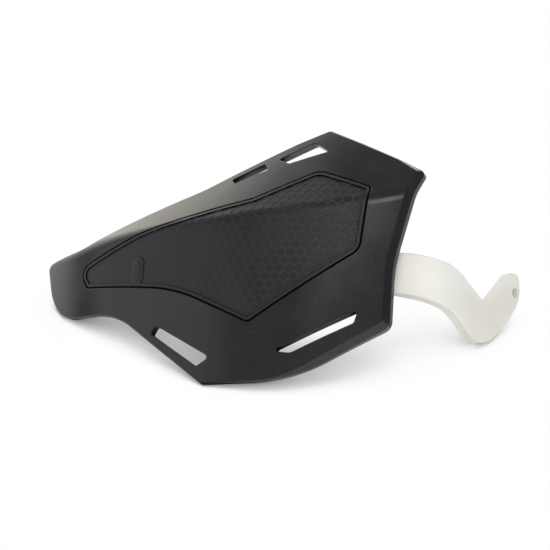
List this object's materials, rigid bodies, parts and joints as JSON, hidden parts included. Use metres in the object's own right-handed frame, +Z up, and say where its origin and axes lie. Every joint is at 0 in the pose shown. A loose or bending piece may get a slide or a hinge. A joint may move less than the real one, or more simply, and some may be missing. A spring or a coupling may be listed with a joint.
{
  "type": "motorcycle hand guard",
  "caption": "Wrapped motorcycle hand guard with vent slots and an inset textured panel, on a bent mounting arm that ends in a bolt eye.",
  "frame": {"origin": "centre of the bounding box on the floor, under the guard at rest", "axes": "+X along the guard from its outer lobe to the inboard arm, +Y to the back (rider's side), +Z up"},
  "size_m": [0.32, 0.1752, 0.119],
  "materials": {
    "shell_plastic": "satin moulded black plastic",
    "panel_plastic": "textured black plastic",
    "arm_nylon": "off-white moulded nylon",
    "insert_brass": "turned brass",
    "washer_steel": "zinc-plated steel",
    "screw_steel": "zinc-plated steel"
  },
  "bodies": {
    "root": {"shell": "shell_plastic", "inset_panel": "panel_plastic", "mounting_arm": "arm_nylon", "boss_inserts": "insert_brass", "screw_washers": "washer_steel", "arm_screws": "screw_steel"}
  },
  "joints": []
}
